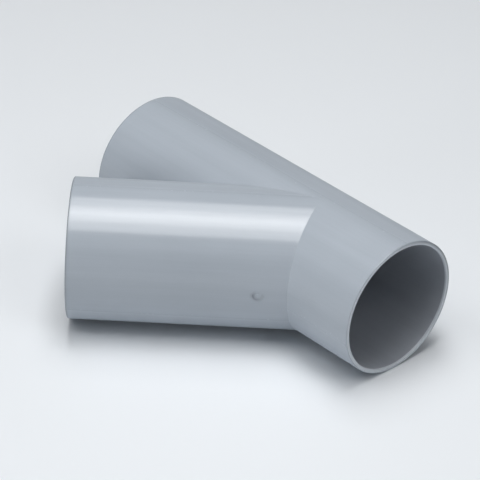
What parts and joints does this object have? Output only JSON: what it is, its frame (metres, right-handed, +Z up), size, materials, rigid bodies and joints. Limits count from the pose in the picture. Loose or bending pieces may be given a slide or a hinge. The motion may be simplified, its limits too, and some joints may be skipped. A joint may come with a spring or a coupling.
{
  "type": "lateral wye fitting",
  "caption": "Grey plastic drain-pipe wye: a straight run with a side branch of the same diameter leaving at 45 degrees, all ends plain.",
  "frame": {"origin": "crossing of the run's axis and the branch's axis", "axes": "+X along the run towards its short leg's mouth, +Z up with both axes level, the branch leaves towards -X and -Y"},
  "size_m": [0.285, 0.2285, 0.11],
  "materials": {
    "pvc": "satin"
  },
  "bodies": {
    "root": {"wye": "pvc"}
  },
  "joints": []
}
